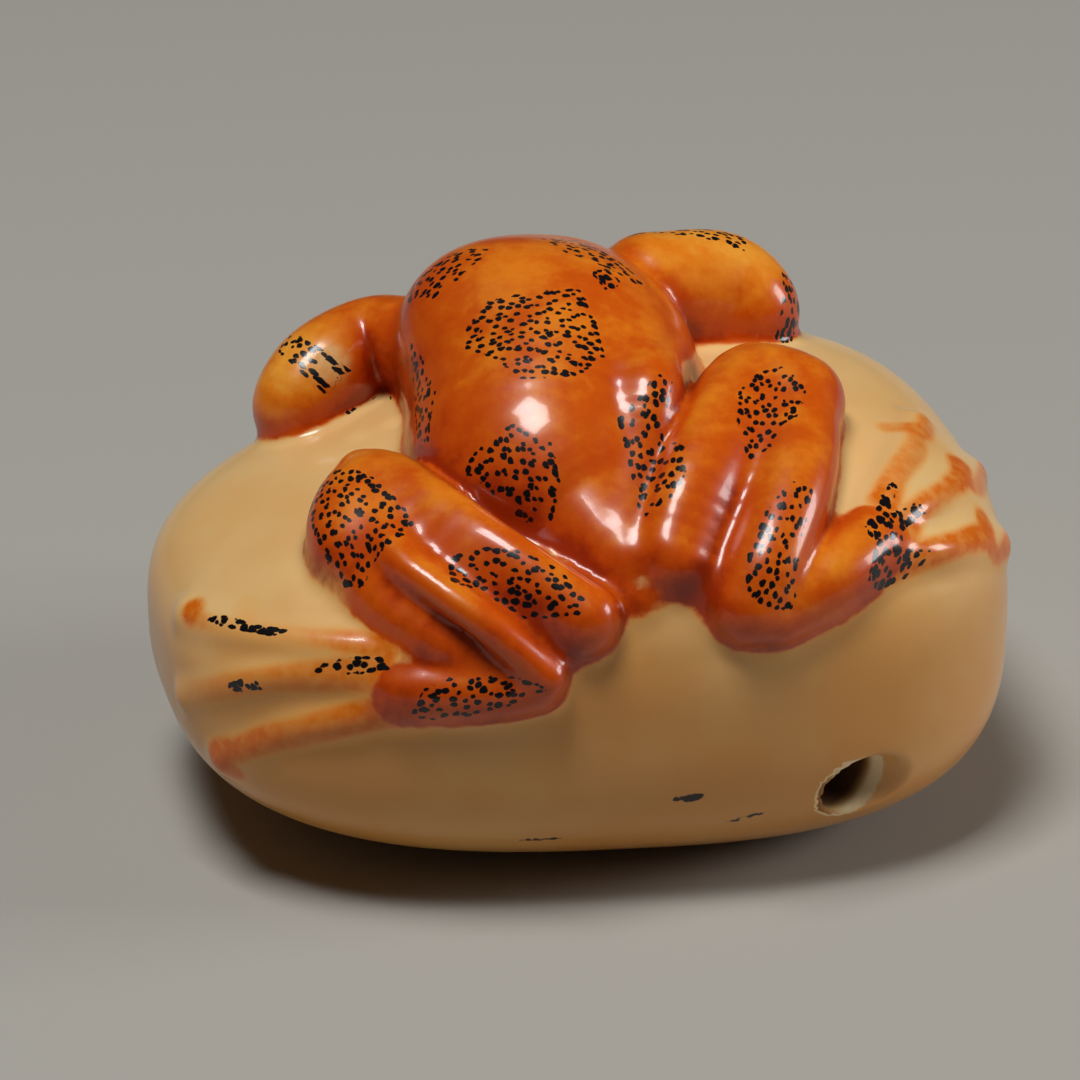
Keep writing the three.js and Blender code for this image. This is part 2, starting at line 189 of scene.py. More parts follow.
RIGHT_THIGH_CREST = [[20, 36, 3, 3.2], [28.5, 45, 6.4, 3], [49, 55.5, 8, 3], [87, 55.5, 7.6, 3.4]]
RIGHT_SHIN = [[80.5, 46.5, 4.6, 7.4], [53.5, 38, 3, 6.8], [38.5, 28, 1.8, 7], [32.5, 22, 0.6, 6.8]]
RIGHT_SHIN_CREST = [[81.5, 46.5, 6.5, 4], [65.5, 41.5, 5.4, 3.6], [51, 35.5, 4, 3.4], [41.5, 30.5, 3, 3.4]]
RIGHT_FOOT = [[37, 20, 0, 5.8], [47.5, 22, -0.6, 6.4], [57.5, 23.5, -1.8, 5.8]]
RIGHT_TOES = [
    [[61.5, 26.5, -1.8, 3.6], [73.5, 29, -0.9, 2.4], [95, 27, -1.2, 2.1]],
    [[62, 24.5, -1.8, 3.6], [72.5, 24, -0.9, 2.4], [94.5, 16.5, -1.2, 2.1]],
    [[58.5, 21.5, -1.8, 3.6], [66.5, 18.5, -0.9, 2.4], [82, 11.5, -1.2, 2.1]],
]


# %% Limbs from joints
def smooth_rows(rows, steps):
    """More rows laid on a smooth curve through the given ones.

    In words: between two rows runs a cubic, whose slope at each end is half the way from the row before
    to the row after."""
    padded = np.vstack([2 * rows[0] - rows[1], rows, 2 * rows[-1] - rows[-2]])
    before, start, end, after = (padded[i:len(rows) - 1 + i, None, :] for i in range(4))
    t = (np.arange(steps) / steps)[None, :, None]
    bend = 2 * before - 5 * start + 4 * end - after
    twist = 3 * start - 3 * end + after - before
    curve = (2 * start + (end - before) * t + bend * t**2 + twist * t**3) / 2
    return np.vstack([curve.reshape(-1, rows.shape[1]), rows[-1:]])


def around(balls):
    """The middle and the radius of a ball that holds all the given ones."""
    middle = (balls[:, :3].min(axis=0) + balls[:, :3].max(axis=0)) / 2
    return middle, (np.linalg.norm(balls[:, :3] - middle, axis=1) + balls[:, 3]).max()


def limb(rows):
    """A limb as a list of stretches, one from each joint to the next, each with the ball that holds it."""
    rows = np.array(rows, dtype=float)
    share = FROG_LENGTH / 100
    places = on_nut(rows[:, 0], rows[:, 1], rows[:, 2] * share)
    balls = np.column_stack([places, rows[:, 3] * share])
    if len(balls) > 1:
        balls = smooth_rows(balls, BEND_STEPS)
    stretches = [balls[i:i + BEND_STEPS + 1] for i in range(0, max(len(balls) - 1, 1), BEND_STEPS)]
    return around(balls), [(around(stretch), stretch) for stretch in stretches]


BODY = {name: limb(rows) for name, rows in {
    "trunk": TRUNK, "nape": NAPE, "ridge": HIP_RIDGE, "head": HEAD, "snout": SNOUT}.items()}
EYE_BALLS = [limb(rows) for rows in EYES]
ARMS = [
    ([limb(LEFT_ARM), limb(LEFT_FOREARM)], [limb(rows) for rows in LEFT_FINGERS]),
    ([limb(RIGHT_ARM), limb(RIGHT_FOREARM)], [limb(rows) for rows in RIGHT_FINGERS]),
]
LEGS = [
    ([limb(LEFT_THIGH), limb(LEFT_THIGH_CREST)], [limb(LEFT_SHIN), limb(LEFT_SHIN_CREST)],
     limb(LEFT_FOOT), [limb(rows) for rows in LEFT_TOES]),
    ([limb(RIGHT_THIGH), limb(RIGHT_THIGH_CREST)], [limb(RIGHT_SHIN), limb(RIGHT_SHIN_CREST)],
     limb(RIGHT_FOOT), [limb(rows) for rows in RIGHT_TOES]),
]
print("stretches of flesh on the left thigh:", len(LEGS[0][0][0][1]))

# %% [markdown]
# ## Flesh on the bones
# Between two balls the flesh is a round-ended cone, and a limb is the nearest of its cones. Two forms that
# meet get a small fillet. Its width is what tells a soft waist from a knife-cut crease between two legs.
# A thigh is two forms side by side: a thick one and a thin crest above it, which leave a flat plane between.

# %% Soft joins and round-ended cones
FAR = 1e6


def join(a, b, width):
    """The smaller of two gaps, less a quarter of the width where both are equal, fading to nothing."""
    overlap = np.maximum(width - np.abs(a - b), 0) / width
    return np.minimum(a, b) - overlap**2 * width / 4


def cone_gap(points, start, end):
    """The gap to a round-ended cone: to its slanted side, or to the ball at the end that is nearer.

    In words: the ball that touches the skin nearest to a point sits where the line from the point meets
    the cone's middle line at the slant of its side, kept between the two ends."""
    span = end[:3] - start[:3]
    length = math.sqrt(span @ span)
    slant = (start[3] - end[3]) / length
    tilt = slant / math.sqrt(1 - slant**2)
    reach = points - start[:3]
    along = reach @ (span / length)
    across = np.sqrt(np.maximum((reach * reach).sum(axis=1) - along**2, 0))
    share = np.clip(along + across * tilt, 0, length)
    return np.sqrt((along - share)**2 + across**2) - start[3] + share * slant


print("a fold where both gaps are 0 is filled by", -join(0.0, 0.0, FOLD_BLEND), "mm")


# %% A limb
def limb_gap(points, form, limit):
    """The gap to a limb, worked out only for the points that lie within the limit of it."""
    (middle, radius), stretches = form
    gap = np.full(len(points), FAR)
    near = np.flatnonzero(np.linalg.norm(points - middle, axis=1) - radius < limit)
    for (middle, radius), balls in stretches:
        close = near[np.linalg.norm(points[near] - middle, axis=1) - radius < limit[near]]
        places = points[close]
        here = np.linalg.norm(places - balls[0, :3], axis=1) - balls[0, 3]
        for start, end in zip(balls[:-1], balls[1:]):
            here = np.minimum(here, cone_gap(places, start, end))
        gap[close] = np.minimum(gap[close], here)
    return gap


# %% Body, arms and legs
def body_gap(points, limit):
    """The gap to trunk, nape, hip ridge and head: the smaller of their gaps, softly joined at the neck."""
    limit = limit + BODY_BLEND
    trunk, nape, ridge, head, snout = (limb_gap(points, form, limit) for form in BODY.values())
    skull = join(head, snout, MUSCLE_BLEND)
    for eye in EYE_BALLS:
        skull = join(skull, limb_gap(points, eye, limit), WEB_BLEND)
    trunk = join(join(trunk, nape, BODY_BLEND), ridge, MUSCLE_BLEND)
    return join(trunk, skull, NECK_BLEND)


def muscle_gap(points, forms, limit):
    """The gap to a few forms that run side by side and are joined into one limb."""
    gap = limb_gap(points, forms[0], limit)
    for form in forms[1:]:
        gap = join(gap, limb_gap(points, form, limit), MUSCLE_BLEND)
    return gap


def arm_gap(points, arm, limit):
    """The gap to an arm: upper arm and forearm side by side, with each finger joined to them."""
    bones, fingers = arm
    limit = limit + MUSCLE_BLEND
    gap = muscle_gap(points, bones, limit)
    for finger in fingers:
        gap = join(gap, limb_gap(points, finger, limit), WEB_BLEND)
    return gap


def leg_gap(points, leg, limit, with_toes=True):
    """The gap to a folded leg: thigh and shin with a soft fold between them, and the foot creased on."""
    thigh, shin, foot, toes = leg
    limit = limit + FOLD_BLEND
    folded = join(muscle_gap(points, thigh, limit), muscle_gap(points, shin, limit), FOLD_BLEND)
    sole = limb_gap(points, foot, limit)
    if with_toes:
        for toe in toes:
            sole = join(sole, limb_gap(points, toe, limit), WEB_BLEND)
    return join(folded, sole, CREASE_BLEND)


def frog_gap(points, limit, with_toes=True):
    """The gap to the frog, exact within the limit. Each form counts only near what is already there."""
    gap = body_gap(points, limit)
    for arm in ARMS:
        gap = join(gap, arm_gap(points, arm, np.minimum(limit, gap + CREASE_BLEND)), CREASE_BLEND)
    for leg in LEGS:
        gap = join(gap, leg_gap(points, leg, np.minimum(limit, gap + CREASE_BLEND), with_toes), CREASE_BLEND)
    return gap


# %% [markdown]
# ## The cord hole and the rest
# A drill goes in low at the right, and its mouth is chipped wider. Underneath, a small patch is rubbed flat,
# so that the nut stands. Both are cuts: the gap to a cut form counts with its sign turned round.

# %% The cord hole
HOLE_TURN = 49.5
HOLE_RISE = -14
HOLE_BORE = 3.6
HOLE_MOUTH = 4.4
HOLE_DEPTH = 7
MOUTH_DEPTH = 0.7
WIDEST_MOUTH = 3
RIM_BLEND = 0.25
HOLE_WAY = heading(HOLE_TURN, HOLE_RISE)
HOLE_START = on_nut(HOLE_TURN, HOLE_RISE)[0]
print("hole:", HOLE_BORE, "mm wide,", HOLE_DEPTH, "mm deep, mouth at", HOLE_START.round(1), "mm")


# %% The whole carving
def hole_frame(points):
    """How far out along the drill a point lies, 0 at the mouth, and how far from the drill's middle."""
    reach = points - HOLE_START
    out = reach @ HOLE_WAY
    return out, np.linalg.norm(reach - out[:, None] * HOLE_WAY, axis=1)


def hole_gap(points):
    """The gap to a drill bit that widens by the mouth's taper over its last MOUTH_DEPTH, and on outside it.

    In words: the larger of the gap to the slanted wall and the gap to the flat end."""
    out, off = hole_frame(points)
    widening = np.clip(1 + out / MOUTH_DEPTH, 0, WIDEST_MOUTH) * (HOLE_MOUTH - HOLE_BORE) / 2
    return np.maximum(off - HOLE_BORE / 2 - widening, -HOLE_DEPTH - out)


def carving_gap(points):
    """The gap to the carving: nut and frog joined, less the hole and all that lies below the table."""
    nut = nut_gap(points)
    whole = join(frog_gap(points, nut + GROUND_BLEND + CREASE_BLEND), nut, GROUND_BLEND)
    drilled = -join(-whole, hole_gap(points), RIM_BLEND)
    return np.maximum(drilled, -points[:, 2])


# %% [markdown]
# ## From distances to a mesh
# The mesh is drawn by the method called surface nets. A lattice of points is laid through the carving.
# Every lattice cell that the skin runs through gets one vertex, and every lattice edge that the skin cuts
# gets one four-sided face between the four cells round it. The result is closed by its nature, with even
# quads and no poles. Only the lattice points close to the skin are worked out finely.

# %% The lattice
LATTICE = 0.28
BLOCK = 4
NEAR_SKIN = 1.2
CHUNK = 200_000


def in_chunks(function, points):
    """The function's values for many points, a chunk at a time, which keeps the memory small."""
    parts = [function(points[i:i + CHUNK]) for i in range(0, len(points), CHUNK)]
    return np.concatenate(parts)


def lattice_of_gaps():
    """Gaps at all lattice points: one for each whole block, and fine ones in blocks near the skin."""
    block = BLOCK * LATTICE
    low = low_corner / MM - 2 * block
    blocks = np.ceil((high_corner / MM + 2 * block - low) / block).astype(int)
    corners = np.indices(blocks).reshape(3, -1).T * block + low
    coarse = in_chunks(carving_gap, corners + (block - LATTICE) / 2)
    gaps = coarse.reshape(blocks)
    for axis in range(3):
        gaps = np.repeat(gaps, BLOCK, axis=axis)
    near = np.argwhere(np.abs(gaps) < NEAR_SKIN * block)
    gaps[tuple(near.T)] = in_chunks(carving_gap, near * LATTICE + low)
    return gaps, low


def surface_net(gaps, low):
    """One vertex in each cut cell, at the mean of its cuts, and one quad round each cut lattice edge."""
    cells = np.array(gaps.shape)
    quads = []
    owners = []
    cuts = []
    for axis in range(3):
        first = np.take(gaps, range(cells[axis] - 1), axis)
        second = np.take(gaps, range(1, cells[axis]), axis)
        cut = np.argwhere((first < 0) != (second < 0))
        inner = first[tuple(cut.T)]
        outer = second[tuple(cut.T)]
        place = cut.astype(float)
        place[:, axis] += inner / (inner - outer)
        side, other = np.eye(3, dtype=int)[[(axis + 1) % 3, (axis + 2) % 3]]
        ring = np.stack([cut, cut - side, cut - side - other, cut - other], axis=1)
        ids = np.ravel_multi_index(tuple(np.moveaxis(ring, 2, 0)), cells)
        quads.append(np.where((inner < 0)[:, None], ids, ids[:, ::-1]))
        owners.append(ids.ravel())
        cuts.append(np.repeat(place, 4, axis=0))
    names, owner = np.unique(np.concatenate(owners), return_inverse=True)
    sums = np.stack([np.bincount(owner, w) for w in np.concatenate(cuts).T], axis=1)
    points = sums / np.bincount(owner)[:, None] * LATTICE + low
    return points, np.searchsorted(names, np.vstack(quads))


gaps, lattice_low = lattice_of_gaps()
points, quads = surface_net(gaps, lattice_low)
print(f"net: {len(points)} vertices, {len(quads)} quads from {gaps.size} lattice points")

# %% [markdown]
# ## Settling the net
# A raw net is a little stepped. Each vertex is eased towards the middle of its neighbours, which evens the
# quads out, and then slides down the slope of the distance until it lies on the true skin again. A last
# smoothing eases and swells in turn, so it rounds off the joins between the cones and doesn't shrink.

# %% Slopes and settling
PROBES = np.array([[1, -1, -1], [-1, -1, 1], [-1, 1, -1], [1, 1, 1]])
PROBE = 0.01
EASE = 0.5
SWELL = -0.53
SETTLING_ROUNDS = 2
SMOOTHING_ROUNDS = 16


def probe(points):
    """The gap at each point and the direction in which it grows, from a small tetrahedron of probes."""
    probes = (points[:, None] + PROBES * PROBE).reshape(-1, 3)
    gaps = in_chunks(carving_gap, probes).reshape(-1, 4)
    slope = gaps @ PROBES
    return gaps.mean(axis=1), slope / np.maximum(np.linalg.norm(slope, axis=1), 1e-12)[:, None]


def settle(points):
    """Every vertex moves down the slope by its gap, which puts it on the skin."""
    gap, slope = probe(points)
    return points - slope * gap[:, None]


def ease(points, quads, share=EASE):
    """Every vertex moves by a share of the way to the middle of its neighbours along the quads' sides."""
    start = quads.ravel()
    end = np.roll(quads, -1, axis=1).ravel()
    count = np.bincount(start, minlength=len(points))
    middle = np.stack([np.bincount(start, w, len(points)) for w in points[end].T], axis=1) / count[:, None]
    return points + share * (middle - points)


for _ in range(SETTLING_ROUNDS):
    points = settle(ease(points, quads))
points = settle(points)
for _ in range(SMOOTHING_ROUNDS):
    points = ease(ease(points, quads), quads, SWELL)
points[:, 2] = np.maximum(points[:, 2], 0)
skin_gap, normals = probe(points)
print("furthest vertex from the true skin:", round(float(np.abs(skin_gap).max()), 3), "mm")

# %% [markdown]
# ## Where the stain lies
# The carver brushed orange stain on the frog and drew its toes as strokes that run out on the bare nut. The
# stain is kept as a few numbers per vertex: how deep a point is inside the stained forms, how strongly a
# toe stroke covers it, and how hollow the carving is there, which the shader uses for painted shade in
# folds.
# Two more say where the stain is painted lighter, as painted light on a few spots, and where handling has
# worn it away. A stroke's row is degrees round and up, half its width in millimetres and its strength. A
# spot's row is degrees round and up, its radius and strength.

# %% Helpers for painting
VERTEX_RADII = np.linalg.norm(points - NUT_MIDDLE, axis=1)
VERTEX_WAYS = (points - NUT_MIDDLE) / VERTEX_RADII[:, None]
SKIN_STEPS = 3


def smoothstep(value, low, high):
    """0 below low, 1 above high, and an S-shaped rise between."""
    t = np.clip((value - low) / (high - low), 0, 1)
    return t * t * (3 - 2 * t)


def skin_point(turn, rise):
    """The carving's skin in a direction from the nut's middle: out to the nearest vertex, then settled."""
    way = np.atleast_2d(heading(turn, rise))
    nearest = (way @ VERTEX_WAYS.T).argmax(axis=1)
    radius = VERTEX_RADII[nearest]
    for _ in range(SKIN_STEPS):
        radius = radius - carving_gap(NUT_MIDDLE + way * radius[:, None])
    return NUT_MIDDLE + way * radius[:, None]


print("skin straight above the nut's middle:", skin_point(0, 90)[0].round(1), "mm")

# %% Where it was brushed, left thin and worn
TOE_STROKES = [
    [[-64, 10.5, 0.8, 1], [-60.5, 10.5, 0.45, 0.6], [-53.5, 12.5, 0.4, 0.4], [-44, 14.5, 0.5, 0.5],
     [-38, 15.5, 0.6, 0.8], [-31, 16, 0.8, 0.9]],
    [[-56, 14.5, 0.7, 0.2], [-53, 13, 0.7, 0.3]],
    [[-62, 0, 0.8, 0.3], [-58, 1.5, 0.7, 0.5], [-52.5, 4.5, 0.7, 0.65], [-46.5, 7.5, 0.7, 0.7],
     [-37, 10.5, 0.9, 0.8], [-30, 12, 1.0, 0.9]],
    [[-53, -8.5, 0.8, 0.95], [-55, -6.5, 0.8, 1], [-50.5, -4, 0.7, 0.95], [-46.5, -1.5, 0.8, 0.9],
     [-41, 1, 0.9, 0.8], [-33.5, 4.5, 1.0, 0.9], [-26, 7, 1.1, 1]],
    [[-44, -3.5, 0.9, 0.25], [-34, 1.5, 0.9, 0.3], [-24, 4.5, 0.9, 0.3]],
    [[87, 32, 0.6, 0.6], [88.5, 28.5, 0.7, 0.85], [95, 27, 0.6, 0.7]],
    [[88, 29.5, 0.7, 0.85], [82, 29, 0.7, 0.7], [70.5, 30, 0.7, 0.75], [62, 28.5, 0.9, 0.9]],
    [[86.5, 22.5, 0.8, 1], [83, 22, 0.8, 1], [85, 19, 0.6, 0.8], [94.5, 16.5, 0.7, 0.9]],
    [[83, 22, 0.8, 1], [74.5, 24, 0.6, 0.85], [66, 25, 0.7, 0.9], [60, 24, 0.9, 0.9]],
    [[78.5, 17, 0.7, 1], [75.5, 15.5, 0.8, 1], [76.5, 12.5, 0.6, 0.9], [82, 11.5, 0.7, 0.9]],
    [[75.5, 16, 0.8, 1], [68, 18.5, 0.7, 0.95], [60, 20, 0.8, 0.95], [54, 20.5, 0.9, 1]],
]
STROKE_EDGE = 0.45
# Painted light: a few spots on the arms and the right foot where the stain's tone is lighter.
PAINTED_LIGHT_SPOTS = [[140, 50, 7, 0.3], [-106, 35, 5, 0.4], [40, 23, 4, 0.2]]
WORN_SPOTS = [[-109, 40, 1.6, 0.85], [-103, 43, 1.2, 0.7], [-97, 37, 1.2, 0.6], [125, 55, 1.2, 0.7],
              [-45, 19, 2.4, 0.8], [-52, 22, 1.6, 0.6], [13.5, 29, 0.45, 0.8]]
SPOT_CORE = 0.3
HOLLOW_REACH = [0.5, 1.0, 2.0]
STAIN_REACH = 1.5
DYE_LIMIT = -0.3


def stroke_cover(points, rows):
    """A brush stroke's strength at each point, full to its half width and fading over STROKE_EDGE.

    In words: the nearest place on the stroke's line gives the distance, the half width and the strength."""
    rows = np.array(rows, dtype=float)
    line = smooth_rows(np.column_stack([skin_point(rows[:, 0], rows[:, 1]), rows[:, 2:]]), BEND_STEPS)
    cover = np.zeros(len(points))
    for start, end in zip(line[:-1], line[1:]):
        span = end[:3] - start[:3]
        share = np.clip(((points - start[:3]) @ span) / (span @ span), 0, 1)[:, None]
        here = start + share * (end - start)
        away = np.linalg.norm(points - here[:, :3], axis=1) - here[:, 3]
        cover = np.maximum(cover, here[:, 4] * (1 - smoothstep(away, -STROKE_EDGE / 2, STROKE_EDGE)))
    return cover


def near_spots(points, spots):
    """Each vertex's share in the strongest spot near it, fading out to the spot's own radius."""
    share = np.zeros(len(points))
    for turn, rise, radius, strength in spots:
        away = np.linalg.norm(points - skin_point(turn, rise), axis=1)
        share = np.maximum(share, strength * (1 - smoothstep(away, SPOT_CORE * radius, radius)))
    return share


def hollowness(points, normals):
    """How much less the gap grows than the way walked straight out, as a mean over three short walks."""
    walks = [1 - in_chunks(carving_gap, points + normals * reach) / reach for reach in HOLLOW_REACH]
    return np.clip(np.mean(walks, axis=0), 0, 1)


# %% The stain's numbers for every vertex
form_stain = -frog_gap(points, np.full(len(points), STAIN_REACH), with_toes=False)
toe_stain = np.max([stroke_cover(points, rows) for rows in TOE_STROKES], axis=0)
hollow = hollowness(points, normals)
worn = near_spots(points, WORN_SPOTS)
thin = near_spots(points, PAINTED_LIGHT_SPOTS)
print("stained vertices:", int((form_stain > DYE_LIMIT).sum()), "toe strokes:", len(TOE_STROKES))

# %% [markdown]
# ## Pen dots
# Patches of dots lie on the back, thighs, shins and feet. Dots laid in space would be cut where the skin
# slants, so each patch gets flat coordinates in a plane of its own that runs along it, like a stencil laid
# on the skin. The shader draws the dots later on those coordinates, as whole as a pen makes them, and only
# where there is stain under them. In a heavy patch they grow until they run together. Each outline is a few
# corners in degrees round and up the nut, and each vertex keeps how deep inside the outline it lies. A few
# marks are plain dashes of the pen, among them mouth and nostrils: degrees round and up of both ends, and
# half the width in millimetres. The painted eyes need only the distance from the pupils.

# %% Ink patches
INK_PATCHES = {
    "back": [[-75, 70], [-84, 75], [75.5, 89], [27, 81.5], [21, 74.5], [0, 69], [-25, 66.5], [-41, 69],
             [-64, 68]],
    "rump": [[-21.5, 58.5], [-7, 55.5], [-4, 48.5], [-6, 41], [-13.5, 41], [-34, 48], [-33, 51]],
    "right_flank": [[39, 67], [44, 64], [35.5, 60], [30.5, 55.5], [32, 51], [28.5, 46.5], [23.5, 42.5],
                    [16.5, 40.5], [15.5, 42.5], [16, 51], [16, 62], [28, 64.5]],
    "left_shoulder": [[-129, 73], [-123.5, 74], [-103, 70], [-99.5, 65], [-111, 58], [-117.5, 58.5],
                      [-120.5, 64], [-127.5, 68.5]],
    "left_flank": [[-96.5, 59.5], [-82.5, 61], [-61.5, 59.5], [-51.5, 51], [-59.5, 50.5], [-75, 55],
                   [-86.5, 56.5], [-94, 58.5]],
    "right_shoulder": [[-160, 72], [179.5, 67.5], [158, 74], [127, 74.5], [123, 77.5], [154.5, 81],
                       [-171, 79.5]],
    "shoulder_smudge": [[153.5, 84.5], [146.5, 80.5], [124, 80.5], [107, 82.5], [99, 85]],
    "left_knee": [[-58.5, 39], [-47.5, 40], [-34.5, 36], [-34, 31.5], [-37, 27], [-37, 23.5], [-41.5, 22],
                  [-46, 25], [-52.5, 28.5], [-60, 30], [-62, 34]],
    "left_thigh": [[-25.5, 31.5], [-20.5, 34], [-12.5, 34.5], [-3.5, 32], [2, 27], [1, 24], [-9, 23],
                   [-18, 27], [-22, 27.5]],
    "left_foot": [[-26, 6], [-24, 11], [-20.5, 13], [-8.5, 14], [-3.5, 12.5], [-11.5, 8.5], [-21.5, 5.5]],
    "left_first_toe": [[-41.5, 9.5], [-39, 12], [-35, 14], [-31, 14.5], [-29, 13], [-33, 11.5]],
    "left_toe_tip": [[-60.5, 10.5], [-58.5, 12.5], [-52.5, 13.5], [-44, 15], [-48, 13], [-53, 12]],
    "left_second_toe": [[-53, 3.5], [-52, 5.5], [-48.5, 8], [-46.5, 6]],
    "right_knee": [[56, 55.5], [71.5, 56], [76, 53], [70.5, 48], [62, 46], [57, 46.5], [50.5, 44.5],
                   [44.5, 44.5], [49, 51]],
    "right_shin": [[46, 38.5], [49, 36], [47, 34], [40.5, 29.5], [36.5, 20.5], [33.5, 21], [29.5, 22.5],
                   [29.5, 26], [32, 31], [38, 35.5]],
    "right_foot": [[67.5, 30], [67.5, 28.5], [60.5, 27], [66.5, 26], [67, 24], [59, 24], [58, 22.5],
                   [63.5, 19.5], [57, 18], [51.5, 18], [49, 21], [52, 24.5], [54, 27.5], [61.5, 29]],
    "left_arm": [[-116.5, 41], [-111.5, 42], [-109, 40.5], [-106, 38], [-107, 35], [-111, 34],
                 [-115, 36], [-118, 38.5]],
    "right_arm": [[165, 57], [156, 55.5], [146, 53], [137.5, 48.5], [141, 46], [150, 49], [162, 52]],
    "right_elbow": [[129, 43], [127.5, 42], [126, 39], [125.5, 36.5], [129, 36], [133, 38], [133, 43]],
    "head": [[-140, 55], [-170, 55], [-176, 48], [-165, 44], [-150, 44], [-136, 49]],
}
HEAVY_PATCHES = ["shoulder_smudge", "left_first_toe", "left_toe_tip", "left_second_toe", "right_foot"]
INK_MARKS = [
    [18, -13.7, 24.5, -13.2, 0.24], [29, -20.5, 32, -19.2, 0.12], [32, -19.2, 35, -18, 0.1],
    [17.3, -21, 17.8, -21, 0.1], [-10.5, -22.5, -3, -23, 0.1],
    [-141, 34.5, -150, 28, 0.24], [-148, 28.7, -159, 26.5, 0.24], [-155, 26.5, -167, 29, 0.24],
    [-164, 28, -174, 34.5, 0.24], [-153.5, 33, -154, 33, 0.2], [-161, 33, -161.5, 33, 0.2],
]
PATCH_MARGIN = 1.5
PATCH_FACING = 0.1
PATTERN_SHIFT = 37
MARK_TAPER = 0.6
PUPIL_LIFT = 0.7


# %% Inside an outline
def outline_depth(places, corners):
    """How deep each place lies inside a closed outline of corners, negative outside.

    In words: the distance to the nearest side, with its sign from how many sides lie to one side of it."""
    starts = corners[None]
    spans = np.roll(corners, -1, axis=0)[None] - starts
    reach = places[:, None] - starts
    share = np.clip((reach * spans).sum(axis=2) / (spans**2).sum(axis=2), 0, 1)
    away = np.linalg.norm(reach - share[..., None] * spans, axis=2).min(axis=1)
    rises = (starts[..., 1] <= places[:, None, 1]) != (starts[..., 1] + spans[..., 1] <= places[:, None, 1])
    lift = np.where(np.abs(spans[..., 1]) < 1e-9, 1e-9, spans[..., 1])
    crossing = starts[..., 0] + (places[:, None, 1] - starts[..., 1]) / lift * spans[..., 0]
    crossed = (rises & (crossing > places[:, None, 0])).sum(axis=1)
    return np.where(crossed % 2 == 1, away, -away)


# %% Patches, marks and eyes
def paint_patches(points, normals):
    """For each vertex the depth inside its deepest patch, and its place in that patch's own plane.

    The plane faces as the skin does on average, and its first axis runs along the patch. Each patch's
    coordinates are shifted, so that no two have the same dots. The third number is 1 in a heavy patch."""
    depth = np.full(len(points), -FAR)
    pen = np.zeros((len(points), 3))
    for number, (name, outline) in enumerate(INK_PATCHES.items()):
        turn, rise = np.array(outline, dtype=float).T
        corners = skin_point(turn, rise)
        middle = corners.mean(axis=0)
        radius = np.linalg.norm(corners - middle, axis=1).max() + PATCH_MARGIN
        near = np.linalg.norm(points - middle, axis=1) < radius
        facing = normals[near].mean(axis=0)
        facing /= np.linalg.norm(facing)
        flat = (corners - middle) @ (np.eye(3) - np.outer(facing, facing))
        along = np.linalg.svd(flat)[2][0]
        plane = np.stack([along, np.cross(facing, along)], axis=1)
        places = (points[near] - middle) @ plane
        here = outline_depth(places, (corners - middle) @ plane)
        here = np.where(normals[near] @ facing > PATCH_FACING, here, -FAR)
        closer = here > depth[near]
        chosen = np.flatnonzero(near)[closer]
        depth[chosen] = here[closer]
        pen[chosen, :2] = places[closer] + PATTERN_SHIFT * number
        pen[chosen, 2] = name in HEAVY_PATCHES
    return depth, pen


def mark_depth(points):
    """How deep each vertex lies inside the solid ink marks, each a short round-ended dash.

    In words: the half width, which shrinks towards both ends, less the distance from the dash's line."""
    depth = np.full(len(points), -FAR)
    for turn_a, rise_a, turn_b, rise_b, half_width in INK_MARKS:
        start, end = skin_point([turn_a, turn_b], [rise_a, rise_b])
        span = end - start
        share = np.clip(((points - start) @ span) / (span @ span), 0, 1)[:, None]
        away = np.linalg.norm(points - start - share * span, axis=1)
        depth = np.maximum(depth, half_width * (1 - MARK_TAPER * (2 * share[:, 0] - 1)**2) - away)
    return depth


def eye_distance(points):
    """How far each vertex lies from the nearer pupil, which looks outwards and up from its eyeball."""
    balls = np.array([stretches[0][1][0] for _, stretches in EYE_BALLS])
    outwards = balls[:, :3] - balls[:, :3].mean(axis=0)
    ways = outwards / np.linalg.norm(outwards, axis=1)[:, None] + [0, 0, PUPIL_LIFT]
    pupils = balls[:, :3] + balls[:, 3:] * ways / np.linalg.norm(ways, axis=1)[:, None]
    return np.linalg.norm(points[:, None] - pupils, axis=2).min(axis=1)


ink, pen = paint_patches(points, normals)
marks = mark_depth(points)
print("patches:", len(INK_PATCHES), "vertices under ink:", int((ink > 0).sum()))

# %% [markdown]
# ## The mesh object
# The net goes into Blender in one piece, scaled to metres, with its painted numbers beside it as vertex
# attributes. Attributes travel with the mesh, so a shader can read them without any image. Depths are in
# millimetres and are kept within a few, since no layer reads further. One more number is how deep down the
# cord hole a vertex of its wall lies.

# %% Build the object
DEPTH_LIMIT = 3
WALL_MARGIN = 0.05
END_MARGIN = 0.2


def build_object(name, points, quads, attributes):
    """A smooth mesh object in metres from points and quads in millimetres, with numbers on its vertices."""
    mesh = bpy.data.meshes.new(name)
    mesh.from_pydata((points * MM).tolist(), [], quads.tolist())
    for title, values in attributes.items():
        kind = "FLOAT_VECTOR" if values.ndim == 2 else "FLOAT"
        layer = mesh.attributes.new(title, kind, "POINT")
        layer.data.foreach_set("vector" if values.ndim == 2 else "value", values.astype(np.float32).ravel())
    mesh.polygons.foreach_set("use_smooth", np.ones(len(quads), dtype=bool))
    mesh.update()
    piece = bpy.data.objects.new(name, mesh)
    bpy.context.scene.collection.objects.link(piece)
    return piece


